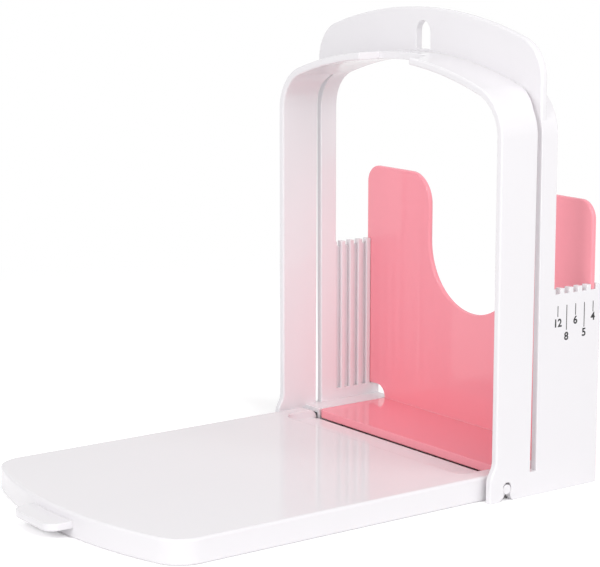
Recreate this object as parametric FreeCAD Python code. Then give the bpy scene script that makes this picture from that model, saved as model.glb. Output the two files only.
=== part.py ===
import FreeCAD, Part
import math
import os
from FreeCAD import Vector

# Folding bread slicer guide in three mouldings: an arched frame whose legs are slotted for
# the knife, a loaf stopper that stands in one of five comb grooves, and a fold-up tray.
# Everything below is laid out about the knife: X across the loaf, Y along it with 0 at the
# knife's plane and the tray towards -Y, Z up from the table. Millimetres.

# Frame band: two legs joined by a shallow arch
LEG_HALF_WIDTH = 76.2
WALL = 3.2
OVERLAP = 1.0  # how far a web runs into its wall, or a cut past a face
ARCH_TOP = 180.2
ARCH_RADIUS = 193.2
ARCH_CORNER = 20.7
BAND_FRONT = -20.5
BAND_REAR = 10.2
EDGE_ROUND = 0.8
EDGE_BREAK = 0.5

# Toe at the front foot of each leg
TOE_FRONT = -23.5
TOE_START = 17.5
TOE_FULL = 8.5
TOE_SWELL = 0.35

# Hanger flange standing on the arch behind the knife slot
FLANGE_FRONT = 1.2
FLANGE_THICK = 3.3
FLANGE_HALF_WIDTH = 75.3
FLANGE_TOP = 199.0
FLANGE_RADIUS = 211.0
FLANGE_CORNER = 17.5
FLANGE_EDGE_ROUND = 1.0
FLANGE_EDGE_BREAK = 0.6
FLANGE_FOOT = 140.0
HANG_WIDTH = 9.4
HANG_BOTTOM = 181.0
HANG_TOP = 193.2

# Knife slot through both legs. It is a little wider towards the deck, flush with the flange
# above the flange's foot, and narrows to a tip on the shoulder.
DECK = 10.5
SLOT_HALF_TOP = FLANGE_FRONT
SLOT_HALF_BOTTOM = 1.7
SLOT_NARROWS = 161.0
SLOT_TIP = 169.0
SLOT_END_X = 64.0

# Comb panels behind the legs
PANEL_REAR = 36.1
PANEL_TOP = 86.3
PANEL_CORNER = 1.5
GROOVE_PITCH = 5.0
GROOVE_FIRST = 12.0
GROOVE_COUNT = 5
GROOVE_WIDTH = 2.7
GROOVE_DEPTH = 1.9
GROOVE_BOTTOM = 15.8
EAR_SEAT = 84.0

# Ledges that carry the loaf level with the tray
LEDGE_INNER = 62.5
LEDGE_FRONT = -7.5
LEDGE_THICK = 2.2
LEDGE_LIP = 1.8
LEDGE_RIBS = (3.0, 19.0)
LEDGE_RIB_BOTTOM = 2.0
RIB = 1.6

# Hinge: pins on the tray in arched seats that are open towards the table. The pin snaps past
# a throat, and the seat stands a little taller than the pin.
HINGE_Y = -14.1
HINGE_Z = 5.0
PIN_RADIUS = 2.1
PIN_CLEARANCE = 0.1
PIN_END_X = 76.0
COLLAR_RADIUS = 4.0
COLLAR_GAP = 0.2
SEAT_TOP = 8.0
THROAT_HALF = 1.75
THROAT_BOTTOM = 2.0
MOUTH_FRONT = 4.9
MOUTH_REAR = 3.0

# Notch in the arch for the folded tray's tab
NOTCH_HALF_WIDTH = 17.0
NOTCH_REAR = -9.4
NOTCH_DEPTH = 9.6

# Tray
TRAY_HALF_WIDTH = 70.6
TRAY_LENGTH = 171.0
TRAY_END_RADIUS = 189.0
TRAY_CORNER = 14.0
TRAY_WALL = 2.2
TRAY_EDGE_ROUND = 1.2
RECESS_HALF_WIDTH = 62.5
RECESS_FRONT = -28.3
RECESS_CORNER = 6.0
SHELF_TOP = 6.6
SHELF_REAR = -9.2
SHELF_CORNER = 3.0
LUG_REAR = HINGE_Y + HINGE_Z
LUG_CORNER = 4.0
TAB_HALF_WIDTH = 15.0
TAB_LENGTH = 10.2
TAB_BOTTOM = 4.3
TAB_TOP = 7.3
TAB_CORNER = 5.0
TRAY_RIB_DEPTH = 5.0
TRAY_LONG_RIBS = (-47.0, -16.0, 16.0, 47.0)
TRAY_CROSS_RIBS = (-60.0, -95.0, -130.0)

# Stopper
STOPPER_Y = 32.0
STOPPER_THICK = 2.3
STOPPER_FRONT = STOPPER_Y - STOPPER_THICK / 2
STOPPER_TOP = 121.2
EAR_HALF_WIDTH = 76.0
TONGUE_HALF_WIDTH = 74.7
TONGUE_BOTTOM = 16.2
STOPPER_FOOT = 0.3
EAR_CORNER = 8.0
TONGUE_CORNER = 5.5
TONGUE_ROUND = 1.5
CUT_OUT_RADIUS = 30.0
CUT_OUT_CENTRE = 91.0
LOBE_CORNER = 14.0
FLOOR_HALF_WIDTH = 62.0
FLOOR_FRONT = -8.2
FLOOR_THICK = 2.2
FLOOR_LIP = 2.0
FLOOR_LIP_BOTTOM = 6.7
FLOOR_CORNER = 3.0
FLOOR_INNER_CORNER = 1.0
GUSSETS = (-45.0, -15.0, 15.0, 45.0)
GUSSET_REACH = 16.0

# The exported origin is under the middle of the whole length with the tray down
TRAY_TIP = HINGE_Y - TRAY_LENGTH - TAB_LENGTH
ORIGIN_Y = (TRAY_TIP + PANEL_REAR) / 2
SIDES = (-1, 1)
UP = Vector(0, 0, 1)
NEAR = 0.01


def box(x0, x1, y0, y1, z0, z1):
    return Part.makeBox(x1 - x0, y1 - y0, z1 - z0, Vector(x0, y0, z0))


def mirrored_box(side, x0, x1, y0, y1, z0, z1):
    return box(min(side * x0, side * x1), max(side * x0, side * x1), y0, y1, z0, z1)


def upright(y):
    # outline drawn in XZ at one Y
    return lambda u, v: Vector(u, y, v)


def sideways(x):
    # outline drawn in YZ at one X
    return lambda u, v: Vector(x, u, v)


def flat(z):
    # outline drawn in XY at one height
    return lambda u, v: Vector(u, v, z)


def from_hinge(z):
    # outline drawn along the tray, measured from the hinge
    return lambda u, v: Vector(u, HINGE_Y - v, z)


def line(place, a, b):
    return Part.LineSegment(place(*a), place(*b)).toShape()


def arc(place, a, middle, b):
    return Part.Arc(place(*a), place(*middle), place(*b)).toShape()


def prism(edges, direction):
    return Part.Face(Part.Wire(edges)).extrude(direction)


def polygon(place, points):
    closed = points + points[:1]
    return [line(place, a, b) for a, b in zip(closed, closed[1:])]


def round_corners(place, corners):
    # closed outline of (u, v, radius) corners, each rounded by a tangent arc
    count = len(corners)
    joints = []
    for i in range(count):
        u, v, radius = corners[i]
        before = Vector(*corners[i - 1][:2], 0) - Vector(u, v, 0)
        after = Vector(*corners[(i + 1) % count][:2], 0) - Vector(u, v, 0)
        if radius == 0:
            joints.append(((u, v), None, (u, v)))
            continue
        before.normalize()
        after.normalize()
        half = before.getAngle(after) / 2
        back = radius / math.tan(half)
        inward = before + after
        inward.normalize()
        depth = radius / math.sin(half) - radius
        start = (u + before.x * back, v + before.y * back)
        middle = (u + inward.x * depth, v + inward.y * depth)
        end = (u + after.x * back, v + after.y * back)
        joints.append((start, middle, end))
    edges = []
    for i in range(count):
        start, middle, end = joints[i]
        if middle:
            edges.append(arc(place, start, middle, end))
        following = joints[(i + 1) % count][0]
        if math.dist(end, following) > NEAR / 2:
            edges.append(line(place, end, following))
    return edges


def arch_outline(place, half_width, base, crown, crown_radius, corner_radius):
    # straight sides, round shoulders and a shallow crown, all tangent
    crown_centre = crown - crown_radius
    corner_u = half_width - corner_radius
    reach = crown_radius - corner_radius
    corner_v = crown_centre + math.sqrt(reach ** 2 - corner_u ** 2)
    lean = math.atan2(corner_u, corner_v - crown_centre)
    shoulder = (crown_radius * math.sin(lean), crown_centre + crown_radius * math.cos(lean))
    bend = (math.pi / 2 - lean) / 2
    elbow = (corner_u + corner_radius * math.cos(bend), corner_v + corner_radius * math.sin(bend))
    right = [
        line(place, (half_width, base), (half_width, corner_v)),
        arc(place, (half_width, corner_v), elbow, shoulder),
    ]
    left = [
        arc(place, (-shoulder[0], shoulder[1]), (-elbow[0], elbow[1]), (-half_width, corner_v)),
        line(place, (-half_width, corner_v), (-half_width, base)),
    ]
    top = [arc(place, shoulder, (0, crown), (-shoulder[0], shoulder[1]))]
    return right + top + left + [line(place, (-half_width, base), (half_width, base))]


def edges_where(shape, wanted):
    # the edges whose middle point passes the test
    edges = []
    for edge in shape.Edges:
        middle = edge.valueAt((edge.FirstParameter + edge.LastParameter) / 2)
        if wanted(middle):
            edges.append(edge)
    return edges


def soften(shape, round_test, break_test):
    # full rounds on the show side, small breaks on the back
    shape = shape.makeFillet(EDGE_ROUND, edges_where(shape, round_test))
    return shape.makeChamfer(EDGE_BREAK, edges_where(shape, break_test))


def near(a, b):
    return abs(a - b) < NEAR


def frame_band():
    depth = Vector(0, BAND_REAR - BAND_FRONT, 0)
    place = upright(BAND_FRONT)
    outer = arch_outline(place, LEG_HALF_WIDTH, 0, ARCH_TOP, ARCH_RADIUS, ARCH_CORNER)
    inner = arch_outline(place, LEG_HALF_WIDTH - WALL, 0, ARCH_TOP - WALL,
                         ARCH_RADIUS - WALL, ARCH_CORNER - WALL)
    band = prism(outer, depth).cut(prism(inner, depth))
    band = band.fuse([toe(side) for side in SIDES] + [panel(side) for side in SIDES])
    return soften(band.removeSplitter(),
                  lambda p: near(p.y, BAND_FRONT) and p.z > TOE_START,
                  lambda p: near(p.y, BAND_REAR) and p.z > PANEL_TOP)


def toe(side):
    # the leg's front edge sweeps forward in an S to a thicker foot
    inner = LEG_HALF_WIDTH - WALL
    middle_y = (BAND_FRONT + TOE_FRONT) / 2
    middle_z = (TOE_START + TOE_FULL) / 2
    place = sideways(side * inner)
    edges = [
        line(place, (BAND_FRONT + WALL, 0), (BAND_FRONT + WALL, TOE_START)),
        line(place, (BAND_FRONT + WALL, TOE_START), (BAND_FRONT, TOE_START)),
        arc(place, (BAND_FRONT, TOE_START),
            ((BAND_FRONT + middle_y) / 2 + TOE_SWELL, (TOE_START + middle_z) / 2), (middle_y, middle_z)),
        arc(place, (middle_y, middle_z),
            ((TOE_FRONT + middle_y) / 2 - TOE_SWELL, (TOE_FULL + middle_z) / 2), (TOE_FRONT, TOE_FULL)),
        line(place, (TOE_FRONT, TOE_FULL), (TOE_FRONT, 0)),
        line(place, (TOE_FRONT, 0), (BAND_FRONT + WALL, 0)),
    ]
    return prism(edges, Vector(side * WALL, 0, 0))


def panel(side):
    outline = round_corners(sideways(side * (LEG_HALF_WIDTH - WALL)), [
        (BAND_REAR - WALL, 0, 0),
        (PANEL_REAR, 0, 0),
        (PANEL_REAR, PANEL_TOP, PANEL_CORNER),
        (BAND_REAR - WALL, PANEL_TOP, 0),
    ])
    return prism(outline, Vector(side * WALL, 0, 0))


def hanger_flange():
    # a plate standing on the arch; its feet die into the legs
    place = upright(FLANGE_FRONT)
    depth = Vector(0, FLANGE_THICK, 0)
    plate = prism(arch_outline(place, FLANGE_HALF_WIDTH, FLANGE_FOOT, FLANGE_TOP, FLANGE_RADIUS,
                               FLANGE_CORNER), depth)
    rear = FLANGE_FRONT + FLANGE_THICK
    plate = plate.makeFillet(FLANGE_EDGE_ROUND,
                             edges_where(plate, lambda p: is_flange_edge(p, FLANGE_FRONT)))
    plate = plate.makeChamfer(FLANGE_EDGE_BREAK,
                              edges_where(plate, lambda p: is_flange_edge(p, rear)))
    opening = arch_outline(place, LEG_HALF_WIDTH - WALL / 2, FLANGE_FOOT, ARCH_TOP - WALL / 2,
                           ARCH_RADIUS - WALL / 2, ARCH_CORNER - WALL / 2)
    return plate.cut(prism(opening, depth))


def is_flange_edge(middle, face):
    return near(middle.y, face) and middle.z > FLANGE_FOOT + NEAR


def hanging_hole():
    place = upright(FLANGE_FRONT - OVERLAP)
    half = HANG_WIDTH / 2
    spring = HANG_TOP - half
    edges = [
        line(place, (-half, HANG_BOTTOM), (half, HANG_BOTTOM)),
        line(place, (half, HANG_BOTTOM), (half, spring)),
        arc(place, (half, spring), (0, HANG_TOP), (-half, spring)),
        line(place, (-half, spring), (-half, HANG_BOTTOM)),
    ]
    return prism(edges, Vector(0, FLANGE_THICK + 2 * OVERLAP, 0))


def knife_slot(side):
    # open to both faces of the leg and running round the shoulder
    place = sideways(side * SLOT_END_X)
    edges = polygon(place, [
        (-SLOT_HALF_BOTTOM, DECK), (SLOT_HALF_BOTTOM, DECK), (SLOT_HALF_TOP, FLANGE_FOOT),
        (SLOT_HALF_TOP, SLOT_TIP), (-SLOT_HALF_TOP, SLOT_NARROWS), (-SLOT_HALF_TOP, FLANGE_FOOT),
    ])
    return prism(edges, Vector(side * 2 * ARCH_CORNER, 0, 0))


def groove_centres():
    return [GROOVE_FIRST + i * GROOVE_PITCH for i in range(GROOVE_COUNT)]


def comb_cuts(side):
    # five grooves that guide the tongues, each with a seat for the ear through the skin
    inner = LEG_HALF_WIDTH - WALL
    half = GROOVE_WIDTH / 2
    cuts = []
    for y in groove_centres():
        cuts.append(mirrored_box(side, inner - OVERLAP, inner + GROOVE_DEPTH, y - half, y + half,
                                 GROOVE_BOTTOM, PANEL_TOP + OVERLAP))
        cuts.append(mirrored_box(side, inner, LEG_HALF_WIDTH + OVERLAP, y - half, y + half,
                                 EAR_SEAT, PANEL_TOP + OVERLAP))
    return cuts


def ledge(side):
    # a channel: deck plate, hidden lip at its inner edge and cross ribs below
    inner = LEG_HALF_WIDTH - WALL
    plate = mirrored_box(side, LEDGE_INNER, inner, LEDGE_FRONT, PANEL_REAR,
                         DECK - LEDGE_THICK, DECK)
    lip = mirrored_box(side, LEDGE_INNER, LEDGE_INNER + LEDGE_LIP, LEDGE_FRONT, PANEL_REAR,
                       0, DECK)
    back = mirrored_box(side, LEDGE_INNER, inner, PANEL_REAR - LEDGE_LIP, PANEL_REAR, 0, DECK)
    ribs = [mirrored_box(side, LEDGE_INNER, inner, y, y + RIB, LEDGE_RIB_BOTTOM, DECK)
            for y in LEDGE_RIBS]
    return plate.fuse([lip, back] + ribs)


def hinge_seat(side):
    # arched seat, a throat that the pin snaps past and a flared mouth at the foot
    radius = PIN_RADIUS + PIN_CLEARANCE
    place = sideways(side * (LEG_HALF_WIDTH - WALL - OVERLAP))
    through = Vector(side * (WALL + 2 * OVERLAP), 0, 0)
    crown = SEAT_TOP - radius
    throat_top = HINGE_Z - math.sqrt(radius ** 2 - THROAT_HALF ** 2)
    arched = prism([
        arc(place, (HINGE_Y - radius, crown), (HINGE_Y, SEAT_TOP), (HINGE_Y + radius, crown)),
        line(place, (HINGE_Y + radius, crown), (HINGE_Y + radius, HINGE_Z)),
        arc(place, (HINGE_Y + radius, HINGE_Z), (HINGE_Y, HINGE_Z - radius),
            (HINGE_Y - radius, HINGE_Z)),
        line(place, (HINGE_Y - radius, HINGE_Z), (HINGE_Y - radius, crown)),
    ], through)
    mouth = prism(polygon(place, [
        (HINGE_Y - THROAT_HALF, throat_top), (HINGE_Y + THROAT_HALF, throat_top),
        (HINGE_Y + THROAT_HALF, THROAT_BOTTOM), (HINGE_Y + MOUTH_REAR, 0),
        (HINGE_Y - MOUTH_FRONT, 0), (HINGE_Y - THROAT_HALF, THROAT_BOTTOM),
    ]), through)
    return arched.fuse(mouth)


def tab_notch():
    return box(-NOTCH_HALF_WIDTH, NOTCH_HALF_WIDTH, BAND_FRONT - OVERLAP, NOTCH_REAR,
               ARCH_TOP - NOTCH_DEPTH, ARCH_TOP + OVERLAP)


def make_frame():
    solid = frame_band().fuse([hanger_flange()] + [ledge(side) for side in SIDES])
    cuts = [hanging_hole(), tab_notch()]
    for side in SIDES:
        cuts.append(knife_slot(side))
        cuts.append(hinge_seat(side))
        cuts.extend(comb_cuts(side))
    return solid.cut(cuts).removeSplitter()


def stopper_wall():
    # tongues below, ears above, and a U open to the top between two lobes
    cut_out_bottom = CUT_OUT_CENTRE - CUT_OUT_RADIUS
    right = [
        (FLOOR_HALF_WIDTH, STOPPER_FOOT, 0),
        (FLOOR_HALF_WIDTH, TONGUE_BOTTOM, TONGUE_CORNER),
        (TONGUE_HALF_WIDTH, TONGUE_BOTTOM, TONGUE_ROUND),
        (TONGUE_HALF_WIDTH, EAR_SEAT, 0),
        (EAR_HALF_WIDTH, EAR_SEAT, 0),
        (EAR_HALF_WIDTH, STOPPER_TOP, EAR_CORNER),
        (CUT_OUT_RADIUS, STOPPER_TOP, LOBE_CORNER),
        (CUT_OUT_RADIUS, cut_out_bottom, CUT_OUT_RADIUS - NEAR / 2),
    ]
    left = [(-u, v, radius) for u, v, radius in reversed(right)]
    outline = round_corners(upright(STOPPER_FRONT), right + left)
    return prism(outline, Vector(0, STOPPER_THICK, 0))


def is_stopper_rim(middle, face):
    # the free edges above the floor, tongues left square to fit the grooves
    above_seat = middle.z > EAR_SEAT + NEAR
    in_cut_out = abs(middle.x) < CUT_OUT_RADIUS + NEAR and middle.z > DECK + STOPPER_THICK
    return near(middle.y, face) and (above_seat or in_cut_out)


def stopper_floor():
    corners = [
        (-FLOOR_HALF_WIDTH, FLOOR_FRONT, FLOOR_CORNER),
        (FLOOR_HALF_WIDTH, FLOOR_FRONT, FLOOR_CORNER),
        (FLOOR_HALF_WIDTH, STOPPER_FRONT, 0),
        (-FLOOR_HALF_WIDTH, STOPPER_FRONT, 0),
    ]
    plate = prism(round_corners(flat(DECK - FLOOR_THICK), corners), UP * FLOOR_THICK)
    inner = [
        (-FLOOR_HALF_WIDTH + FLOOR_LIP, FLOOR_FRONT + FLOOR_LIP, FLOOR_INNER_CORNER),
        (FLOOR_HALF_WIDTH - FLOOR_LIP, FLOOR_FRONT + FLOOR_LIP, FLOOR_INNER_CORNER),
        (FLOOR_HALF_WIDTH - FLOOR_LIP, STOPPER_FRONT + OVERLAP, 0),
        (-FLOOR_HALF_WIDTH + FLOOR_LIP, STOPPER_FRONT + OVERLAP, 0),
    ]
    skirt_height = DECK - FLOOR_LIP_BOTTOM
    skirt = prism(round_corners(flat(FLOOR_LIP_BOTTOM), corners), UP * skirt_height)
    skirt = skirt.cut(prism(round_corners(flat(FLOOR_LIP_BOTTOM), inner), UP * skirt_height))
    return plate.fuse(skirt)


def stopper_gusset(x):
    # triangular web from the wall's foot to the underside of the floor
    top = DECK - FLOOR_THICK
    web = polygon(sideways(x - RIB / 2), [
        (STOPPER_FRONT, STOPPER_FOOT), (STOPPER_FRONT, top),
        (STOPPER_FRONT - GUSSET_REACH, top), (STOPPER_FRONT - GUSSET_REACH, FLOOR_LIP_BOTTOM),
    ])
    return prism(web, Vector(RIB, 0, 0))


def make_stopper():
    wall = soften(stopper_wall(),
                  lambda p: is_stopper_rim(p, STOPPER_FRONT),
                  lambda p: is_stopper_rim(p, STOPPER_FRONT + STOPPER_THICK))
    return wall.fuse([stopper_floor()] + [stopper_gusset(x) for x in GUSSETS]).removeSplitter()


def tray_rim():
    # the whole outline, closed at the hinge by two round lugs
    outline = arch_outline(from_hinge(0), TRAY_HALF_WIDTH, 0, TRAY_LENGTH,
                           TRAY_END_RADIUS, TRAY_CORNER)
    body = prism(outline, UP * DECK)
    body = body.fuse([tray_lug(side) for side in SIDES]).removeSplitter()
    rim = edges_where(body, lambda p: near(p.z, DECK) and p.y < HINGE_Y)
    return body.makeFillet(TRAY_EDGE_ROUND, rim)


def tray_lug(side):
    # rounded about the hinge so that it turns clear of the table
    outline = round_corners(sideways(side * RECESS_HALF_WIDTH), [
        (RECESS_FRONT, 0, 0), (LUG_REAR, 0, HINGE_Z),
        (LUG_REAR, DECK, LUG_CORNER), (RECESS_FRONT, DECK, 0),
    ])
    return prism(outline, Vector(side * (TRAY_HALF_WIDTH - RECESS_HALF_WIDTH), 0, 0))


def tray_hollow():
    # open underside inside an even wall
    start = HINGE_Y - RECESS_FRONT + TRAY_WALL
    outline = arch_outline(from_hinge(0), TRAY_HALF_WIDTH - TRAY_WALL, start,
                           TRAY_LENGTH - TRAY_WALL, TRAY_END_RADIUS - TRAY_WALL,
                           TRAY_CORNER - TRAY_WALL)
    return prism(outline, UP * (DECK - TRAY_WALL))


def tray_recess():
    # where the stopper's floor lies when it stands in a near groove
    rear = LUG_REAR + OVERLAP
    outline = round_corners(flat(SHELF_TOP), [
        (-RECESS_HALF_WIDTH, RECESS_FRONT, RECESS_CORNER),
        (RECESS_HALF_WIDTH, RECESS_FRONT, RECESS_CORNER),
        (RECESS_HALF_WIDTH, rear, 0), (-RECESS_HALF_WIDTH, rear, 0),
    ])
    return prism(outline, UP * (DECK - SHELF_TOP + OVERLAP))


def tray_ribs():
    low = DECK - TRAY_WALL - TRAY_RIB_DEPTH
    side = TRAY_HALF_WIDTH - TRAY_WALL / 2
    end = HINGE_Y - TRAY_LENGTH
    bars = [box(x - RIB / 2, x + RIB / 2, end, RECESS_FRONT, low, DECK) for x in TRAY_LONG_RIBS]
    for y in TRAY_CROSS_RIBS:
        bars.append(box(-side, side, y - RIB / 2, y + RIB / 2, low, DECK))
    return bars[0].fuse(bars[1:]).common(tray_hollow())


def tray_lug_core(side):
    # the lugs are cored from below so that their walls stay even
    return mirrored_box(side, RECESS_HALF_WIDTH + TRAY_WALL, TRAY_HALF_WIDTH - TRAY_WALL,
                        RECESS_FRONT, HINGE_Y - COLLAR_RADIUS - TRAY_WALL, 0, DECK - TRAY_WALL)


def tray_shelf_tongue():
    # the shelf runs on past the hinge line, its free corners rounded
    half = RECESS_HALF_WIDTH
    outline = round_corners(flat(SHELF_TOP - TRAY_WALL), [
        (-half, HINGE_Y - OVERLAP, 0), (half, HINGE_Y - OVERLAP, 0),
        (half, SHELF_REAR, SHELF_CORNER), (-half, SHELF_REAR, SHELF_CORNER),
    ])
    return prism(outline, UP * TRAY_WALL)


def hinge_pin(side):
    # a stub through the leg and a collar that centres the tray between the legs
    root = TRAY_HALF_WIDTH - OVERLAP
    start = Vector(side * root, HINGE_Y, HINGE_Z)
    axis = Vector(side, 0, 0)
    collar_end = LEG_HALF_WIDTH - WALL - COLLAR_GAP
    pin = Part.makeCylinder(PIN_RADIUS, PIN_END_X - root, start, axis)
    return pin.fuse(Part.makeCylinder(COLLAR_RADIUS, collar_end - root, start, axis))


def make_tray():
    under_shelf = box(-RECESS_HALF_WIDTH, RECESS_HALF_WIDTH, RECESS_FRONT, LUG_REAR + OVERLAP,
                      0, SHELF_TOP - TRAY_WALL)
    cores = [tray_lug_core(side) for side in SIDES]
    solid = tray_rim().cut([tray_hollow(), tray_recess(), under_shelf] + cores)
    additions = [tray_ribs(), tray_tab(), tray_shelf_tongue()]
    additions += [hinge_pin(side) for side in SIDES]
    return solid.fuse(additions).removeSplitter()


def tray_tab():
    back = HINGE_Y - TRAY_LENGTH + TRAY_WALL
    outline = round_corners(flat(TAB_BOTTOM), [
        (-TAB_HALF_WIDTH, TRAY_TIP, TAB_CORNER), (TAB_HALF_WIDTH, TRAY_TIP, TAB_CORNER),
        (TAB_HALF_WIDTH, back, 0), (-TAB_HALF_WIDTH, back, 0),
    ])
    return prism(outline, UP * (TAB_TOP - TAB_BOTTOM))


def export(node, shape):
    shape.translate(Vector(0, -ORIGIN_Y, 0))
    shape.exportStep("parts/" + node + ".step")
    box_now = shape.BoundBox
    print(node, "valid", shape.isValid(), "solids", len(shape.Solids), "volume", round(shape.Volume),
          "x", round(box_now.XMin, 2), round(box_now.XMax, 2), "y", round(box_now.YMin, 2),
          round(box_now.YMax, 2), "z", round(box_now.ZMin, 2), round(box_now.ZMax, 2))


os.makedirs("parts", exist_ok=True)
export("frame", make_frame())
export("stopper", make_stopper())
export("tray", make_tray())
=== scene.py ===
from math import cos, pi, radians, sin

import bmesh
import bpy
from mathutils import Euler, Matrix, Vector


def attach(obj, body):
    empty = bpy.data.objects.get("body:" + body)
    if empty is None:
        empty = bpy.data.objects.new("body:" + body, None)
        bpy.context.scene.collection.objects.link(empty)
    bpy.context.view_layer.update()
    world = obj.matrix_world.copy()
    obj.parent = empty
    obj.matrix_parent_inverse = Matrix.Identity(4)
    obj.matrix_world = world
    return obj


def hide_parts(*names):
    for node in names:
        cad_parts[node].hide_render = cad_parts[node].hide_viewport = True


# Bread slicer guide: a glossy white arched frame, a pink loaf stopper and a fold-up tray,
# with the slice-count scale printed on the outside of the right-hand panel.

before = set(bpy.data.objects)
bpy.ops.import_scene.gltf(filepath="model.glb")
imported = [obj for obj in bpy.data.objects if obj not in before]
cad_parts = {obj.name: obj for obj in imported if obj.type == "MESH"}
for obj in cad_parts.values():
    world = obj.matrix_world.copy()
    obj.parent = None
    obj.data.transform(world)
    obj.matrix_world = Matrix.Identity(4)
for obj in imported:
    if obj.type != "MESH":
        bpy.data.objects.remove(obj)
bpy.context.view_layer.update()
mm = 0.001


class Signal:
    # wraps one shader socket, so that masks are written as plain arithmetic
    def __init__(self, finish, socket):
        self.finish = finish
        self.socket = socket

    def math(self, operation, *terms):
        return self.finish.node("ShaderNodeMath", {"operation": operation}, dict(enumerate(terms)))

    def least(self, other):
        return self.math("MINIMUM", self, other)

    def most(self, other):
        return self.math("MAXIMUM", self, other)

    def sibling(self, out):
        # another output of the same node
        return Signal(self.finish, self.socket.node.outputs[out])

    def __add__(self, other):
        return self.math("ADD", self, other)

    def __radd__(self, other):
        return self.math("ADD", other, self)

    def __sub__(self, other):
        return self.math("SUBTRACT", self, other)

    def __rsub__(self, other):
        return self.math("SUBTRACT", other, self)

    def __mul__(self, other):
        return self.math("MULTIPLY", self, other)

    def __rmul__(self, other):
        return self.math("MULTIPLY", other, self)


class Finish:
    # one procedural surface, built node by node on a material or on the world
    def __init__(self, owner, output="ShaderNodeOutputMaterial"):
        self.owner = owner
        owner.use_nodes = True
        self.tree = owner.node_tree
        self.tree.nodes.clear()
        self.output = self.tree.nodes.new(output)

    def node(self, kind, settings=None, values=None, out=0):
        made = self.tree.nodes.new(kind)
        for key, value in (settings or {}).items():
            setattr(made, key, value)
        for key, value in (values or {}).items():
            if isinstance(value, Signal):
                self.tree.links.new(value.socket, made.inputs[key])
            else:
                made.inputs[key].default_value = value
        return Signal(self, made.outputs[out])

    def mix(self, factor, first, second):
        values = {0: factor, 6: first, 7: second}  # 6 and 7 are its two colours, 2 their mixture
        return self.node("ShaderNodeMix", {"data_type": "RGBA"}, values, out=2)

    def surface(self, shader):
        self.tree.links.new(shader.socket, self.output.inputs["Surface"])
        return self.owner


noiseMiddle = 0.5  # a noise runs either side of this


def noise(finish, where, scale, detail=2.0, roughness=0.5):
    values = {"Vector": where, "Scale": scale, "Detail": detail, "Roughness": roughness}
    return finish.node("ShaderNodeTexNoise", None, values)


glossWhite = {
    "colour": (0.854, 0.836, 0.86, 1),
    "shade": (0.834, 0.814, 0.843, 1),
    # paler colour painted along the edges as a highlight
    "paintedEdgeColour": (0.905, 0.895, 0.91, 1),
    "ior": 1.36,
    "roughness": 0.05,
    "roughnessSpread": 0.03,
    "ripple": 0.02,
}

glossPink = {
    "colour": (0.97, 0.342, 0.405, 1),
    "shade": (0.95, 0.318, 0.38, 1),
    # paler colour painted along the edges as a highlight
    "paintedEdgeColour": (0.985, 0.47, 0.525, 1),
    "ior": 1.46,
    "roughness": 0.05,
    "roughnessSpread": 0.03,
    "ripple": 0.025,
}

# what the two plastics have in common; each scale is in patches to the metre
moulded = {
    "flowScale": 9.0,
    "flowFrom": 0.35,
    "flowGain": 1.6,
    "grainScale": 260.0,
    "grainSpread": 0.03,
    "smearScale": 60.0,
    "smearStretch": (1.0, 0.35, 0.25),
    "rippleScale": 55.0,
    "rippleDepth": 0.4,  # mm
    "edgeRadius": 0.5,  # mm
    "edgeGain": 6,
    # how much of the painted edge highlight colour shows at an edge
    "paintedEdgeShare": 0.8,
    "edgePolish": 0.02,
}


def mouldedPlastic(name, look):
    # faint flow shading, slightly uneven gloss, a fine ripple, a painted highlight along the
    # edges, and smoother edges
    finish = Finish(bpy.data.materials.new(name))
    where = finish.node("ShaderNodeTexCoord", out="Object")
    flow = noise(finish, where, moulded["flowScale"])
    grain = noise(finish, where, moulded["grainScale"], detail=3.0, roughness=0.6)
    stretched = finish.node("ShaderNodeMapping", None,
                            {"Vector": where, "Scale": moulded["smearStretch"]})
    smears = noise(finish, stretched, moulded["smearScale"], detail=4.0)

    rounded = finish.node("ShaderNodeBevel", {"samples": 4},
                          {"Radius": moulded["edgeRadius"] * mm})
    unrounded = finish.node("ShaderNodeNewGeometry", out="Normal")
    facing = finish.node("ShaderNodeVectorMath", {"operation": "DOT_PRODUCT"},
                         {0: rounded, 1: unrounded}, out="Value")
    edge = ((1 - facing) * moulded["edgeGain"]).least(1)

    shade = finish.mix((flow - moulded["flowFrom"]) * moulded["flowGain"],
                       look["colour"], look["shade"])
    # painted highlight: the edges are painted paler than the faces beside them
    colour = finish.mix(edge * moulded["paintedEdgeShare"], shade, look["paintedEdgeColour"])
    roughness = (look["roughness"] + (smears - noiseMiddle) * look["roughnessSpread"]
                 + (grain - noiseMiddle) * moulded["grainSpread"] - edge * moulded["edgePolish"])
    ripple = noise(finish, where, moulded["rippleScale"], detail=1.0)
    normal = finish.node("ShaderNodeBump", None, {
        "Strength": look["ripple"], "Distance": moulded["rippleDepth"] * mm,
        "Height": ripple, "Normal": rounded})
    return finish.surface(finish.node("ShaderNodeBsdfPrincipled", None, {
        "Base Color": colour, "Roughness": roughness, "Normal": normal, "IOR": look["ior"]}))


whitePlastic = mouldedPlastic("whitePlastic", glossWhite)
pinkPlastic = mouldedPlastic("pinkPlastic", glossPink)


# the speckle is in patches to the metre too
ink = {
    "black": (0.012, 0.012, 0.014, 1),
    "thin": (0.035, 0.034, 0.036, 1),
    "speckle": 1500.0,
    "roughness": 0.42,
    "roughnessSpread": 0.2,
}


def inkFinish():
    # matt black pad print, a little uneven
    finish = Finish(bpy.data.materials.new("scaleInk"))
    where = finish.node("ShaderNodeTexCoord", out="Object")
    speckle = noise(finish, where, ink["speckle"], detail=3.0, roughness=0.7)
    return finish.surface(finish.node("ShaderNodeBsdfPrincipled", None, {
        "Base Color": finish.mix(speckle, ink["black"], ink["thin"]),
        "Roughness": ink["roughness"] + speckle * ink["roughnessSpread"]}))


scaleInk = inkFinish()
print("finishes ready")


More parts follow.
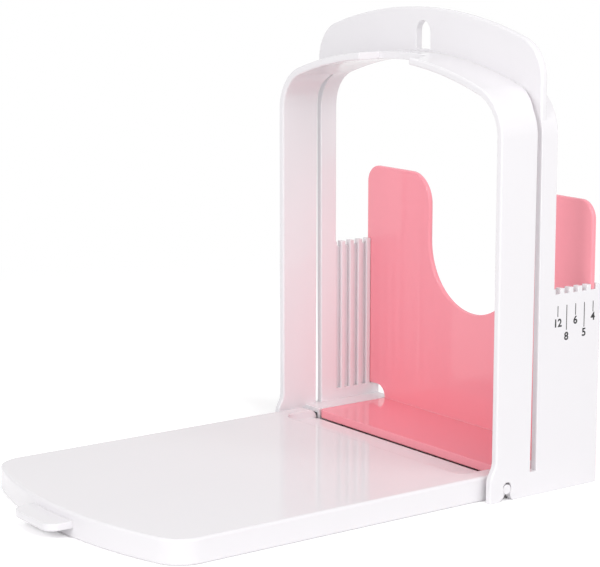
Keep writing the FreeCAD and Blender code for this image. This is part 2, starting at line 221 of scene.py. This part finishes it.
def newPiece(name, bm, material):
    mesh = bpy.data.meshes.new(name)
    bm.to_mesh(mesh)
    bm.free()
    mesh.materials.append(material)
    piece = bpy.data.objects.new(name, mesh)
    bpy.context.scene.collection.objects.link(piece)
    return piece


# how the mouldings' corners are rounded: lengths in millimetres, angles in degrees
softEdge = {
    "width": 0.22,
    "segments": 3,
    "cornerFrom": 40,  # a corner that turns this much is rounded
    "leastFace": 0.8,  # where both faces beside it are this wide
    "creaseFrom": 4,
    "turnFrom": 34,
    "flatWithin": 0.4,
    "mergeWithin": 0.004,
}


def isCrease(edge, normals):
    # whether the CAD surface's own normals part across the edge
    if len(edge.link_loops) != 2:
        return True
    one, other = edge.link_loops
    ends = ((one, other.link_loop_next), (one.link_loop_next, other))
    return any(a[normals].angle(b[normals], 0) > radians(softEdge["creaseFrom"]) for a, b in ends)


def isCorner(edge):
    # an outside corner between two faces wide enough to take the rounding
    if edge.calc_face_angle_signed(0) < radians(softEdge["cornerFrom"]):
        return False
    width = min(face.calc_area() for face in edge.link_faces) / edge.calc_length()
    return width > softEdge["leastFace"] * mm


def mergedSkin(source):
    # the CAD triangles joined into one skin, smooth but for the creases
    bm = bmesh.new()
    bm.from_mesh(source)
    normals = bm.loops.layers.float_vector.new("cadNormal")
    for face, polygon in zip(bm.faces, source.polygons):
        for loop, corner in zip(face.loops, polygon.loop_indices):
            loop[normals] = source.corner_normals[corner].vector
        face.smooth = True
    bmesh.ops.remove_doubles(bm, verts=bm.verts, dist=softEdge["mergeWithin"] * mm)
    for edge in bm.edges:
        edge.smooth = not isCrease(edge, normals)
    bm.loops.layers.float_vector.remove(normals)
    bmesh.ops.dissolve_limit(bm, angle_limit=radians(softEdge["flatWithin"]),
                             verts=bm.verts, edges=bm.edges, use_dissolve_boundaries=False)
    return bm


def partStrips(bm, strips):
    # a rounded edge shades by itself, so that its ends don't pull on the faces beside it
    touched = {vert for face in strips for vert in face.verts}
    for edge in bm.edges:
        sides = sum(face in strips for face in edge.link_faces)
        turns = edge.calc_face_angle(0) > radians(softEdge["turnFrom"])
        if sides == 1 or (turns and touched.intersection(edge.verts)):
            edge.smooth = False
    for face in bm.faces:
        face.smooth = True


def moulding(name, node, body, material):
    # the CAD moulding with the sharp edges of its skin broken
    bm = mergedSkin(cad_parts[node].data)
    corners = [edge for edge in bm.edges if isCorner(edge)]
    for edge in corners:
        edge.smooth = True
    rounded = bmesh.ops.bevel(bm, geom=corners, offset=softEdge["width"] * mm,
                              offset_type="OFFSET", segments=softEdge["segments"], profile=0.5,
                              affect="EDGES", clamp_overlap=False, material=-1)["faces"]
    partStrips(bm, set(rounded))
    piece = newPiece(name, bm, material)
    level = piece.modifiers.new("evenNormals", "WEIGHTED_NORMAL")
    level.keep_sharp = True
    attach(piece, body)
    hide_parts(node)


moulding("frameMoulding", "frame", "frame", whitePlastic)
moulding("trayMoulding", "tray", "tray", whitePlastic)
moulding("stopperMoulding", "stopper", "stopper", pinkPlastic)
print("mouldings ready")


# in millimetres; a mark is its numeral, the foot of its line and the foot of the numeral
scale = {
    "face": 76.2,
    "firstY": 91.6,
    "pitch": 5.0,
    "top": 79.1,
    "line": 0.42,
    "ink": 0.02,
    "marks": [("12", 74.5, 70.3), ("8", 68.5, 64.3), ("6", 74.3, 70.6), ("5", 68.6, 64.8),
              ("4", 74.5, 71.0)],
    "height": 3.4,
    "fontShare": 0.73,  # a numeral's height as a share of the font's size
    "stroke": 0.14,
    "mergeWithin": 0.001,
}


def printedLine(y, bottom, top):
    bm = bmesh.new()
    bmesh.ops.create_cube(bm, size=1)
    bmesh.ops.scale(bm, vec=(2 * scale["ink"] * mm, scale["line"] * mm, (top - bottom) * mm),
                    verts=bm.verts)
    bmesh.ops.translate(bm, vec=(scale["face"] * mm, y * mm, (top + bottom) / 2 * mm),
                        verts=bm.verts)
    return bm


def printedNumber(word, y, bottom):
    # in millimetres until its doubles are merged and it stands in its place
    curve = bpy.data.curves.new("number" + word, "FONT")
    curve.body = word
    curve.align_x = "CENTER"
    curve.size = scale["height"] / scale["fontShare"]
    curve.extrude = scale["ink"]
    curve.offset = scale["stroke"]
    label = bpy.data.objects.new("number" + word, curve)
    bpy.context.scene.collection.objects.link(label)
    bpy.context.view_layer.update()
    depsgraph = bpy.context.evaluated_depsgraph_get()
    mesh = bpy.data.meshes.new_from_object(label.evaluated_get(depsgraph))
    bpy.data.objects.remove(label)

    upright = Euler((pi / 2, 0, pi / 2)).to_matrix().to_4x4()
    bm = bmesh.new()
    bm.from_mesh(mesh)
    bpy.data.meshes.remove(mesh)
    bmesh.ops.remove_doubles(bm, verts=bm.verts, dist=scale["mergeWithin"])
    bmesh.ops.transform(bm, matrix=upright, verts=bm.verts)
    bmesh.ops.translate(bm, vec=(scale["face"], y, bottom), verts=bm.verts)
    bmesh.ops.scale(bm, vec=(mm, mm, mm), verts=bm.verts)
    return bm


for i, (word, lineBottom, numberBottom) in enumerate(scale["marks"]):
    y = scale["firstY"] + i * scale["pitch"]
    mark = newPiece("scaleLine" + word, printedLine(y, lineBottom, scale["top"]), scaleInk)
    number = newPiece("scaleNumber" + word, printedNumber(word, y, numberBottom), scaleInk)
    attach(mark, "frame")
    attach(number, "frame")
print("scale printed")


# in metres, degrees and watts; a lamp's turn is measured round the object from its front
studio = {
    "room": 0.51,
    "pageColour": (1, 1, 1, 1),
    "aim": (0, 0, 0.08),
    "front": {"turn": 14, "lift": 30, "away": 1.6, "size": 0.5, "power": 8.1},
    "fill": {"turn": 65, "lift": 15, "away": 1.6, "size": 1.2, "power": 4.3},
    "side": {"turn": 98, "lift": 46, "away": 1.6, "size": 1.2, "power": 9.9},
    "floorSize": 9.0,
    "floorColour": (0.88, 0.88, 0.88, 1),
    "floorCloud": (0.91, 0.91, 0.91, 1),
    "floorSeen": (1.42, 1.42, 1.42, 1),
    "cloudScale": 1.5,
    "shadowReach": (0.24, 0.55),
}


def seenDirectly(finish):
    # 1 for rays from the camera and for those that reflect or pass on its view
    camera = finish.node("ShaderNodeLightPath", out="Is Camera Ray")
    return camera.most(camera.sibling("Is Glossy Ray")).most(camera.sibling("Is Transmission Ray"))


def pageFloor():
    # pale floor: real shadows near the object, fading into plain white further out
    finish = Finish(bpy.data.materials.new("floorFinish"))
    where = finish.node("ShaderNodeTexCoord", out="Object")
    cloud = noise(finish, where, studio["cloudScale"])
    direct = seenDirectly(finish)
    pale = finish.mix(cloud, studio["floorColour"], studio["floorCloud"])
    bright = finish.mix(direct, pale, studio["floorSeen"])
    diffuse = finish.node("ShaderNodeBsdfDiffuse", None, {"Color": bright})
    page = finish.node("ShaderNodeEmission", None,
                       {"Color": studio["pageColour"], "Strength": 1.0})
    away = finish.node("ShaderNodeVectorMath", {"operation": "LENGTH"}, {0: where}, out="Value")
    near, far = studio["shadowReach"]
    fade = finish.node("ShaderNodeMapRange", {"interpolation_type": "SMOOTHSTEP"},
                       {"Value": away, "From Min": near, "From Max": far})
    return finish.surface(finish.node("ShaderNodeMixShader", None,
                                      {0: direct * fade, 1: diffuse, 2: page}))


def makeFloor():
    bm = bmesh.new()
    bmesh.ops.create_grid(bm, x_segments=4, y_segments=4, size=studio["floorSize"])
    floor = newPiece("floor", bm, pageFloor())


def makeWorld():
    # even room light, seen as the white page
    world = bpy.data.worlds.new("studioWorld")
    bpy.context.scene.world = world
    finish = Finish(world, "ShaderNodeOutputWorld")
    room = finish.node("ShaderNodeBackground", None,
                       {"Color": studio["pageColour"], "Strength": studio["room"]})
    page = finish.node("ShaderNodeBackground", None,
                       {"Color": studio["pageColour"], "Strength": 1.0})
    finish.surface(finish.node("ShaderNodeMixShader", None,
                               {0: seenDirectly(finish), 1: room, 2: page}))


def softbox(name, look):
    # a square lamp, turned round the object, raised and moved off, that faces it
    turn, lift = radians(look["turn"]), radians(look["lift"])
    out = Vector((sin(turn) * cos(lift), -cos(turn) * cos(lift), sin(lift)))
    aim = Vector(studio["aim"])
    place = aim + out * look["away"]
    lamp = bpy.data.lights.new(name, "AREA")
    lamp.shape = "SQUARE"
    lamp.size = look["size"]
    lamp.energy = look["power"]
    box = bpy.data.objects.new(name, lamp)
    box.location = place
    box.rotation_euler = (aim - place).to_track_quat("-Z", "Y").to_euler()
    bpy.context.scene.collection.objects.link(box)


makeFloor()
makeWorld()
for lampName in ("front", "fill", "side"):
    softbox(lampName + "Light", studio[lampName])


# in metres and degrees, with the lens and its sensor in millimetres
view = {
    "lens": 124.436,
    "sensor": 36,
    "nearest": 0.05,
    "furthest": 50,
    "place": (0.69188, -0.49055, 0.24460),
    "turn": (79.486, 0, 53.831),
}


def makeCamera():
    data = bpy.data.cameras.new("camera")
    data.sensor_width = view["sensor"]
    data.lens = view["lens"]
    data.clip_start = view["nearest"]
    data.clip_end = view["furthest"]
    camera = bpy.data.objects.new("camera", data)
    camera.location = view["place"]
    camera.rotation_euler = [radians(v) for v in view["turn"]]
    bpy.context.scene.collection.objects.link(camera)
    bpy.context.scene.camera = camera


makeCamera()
bpy.context.scene.view_settings.view_transform = "Standard"
print("studio ready")
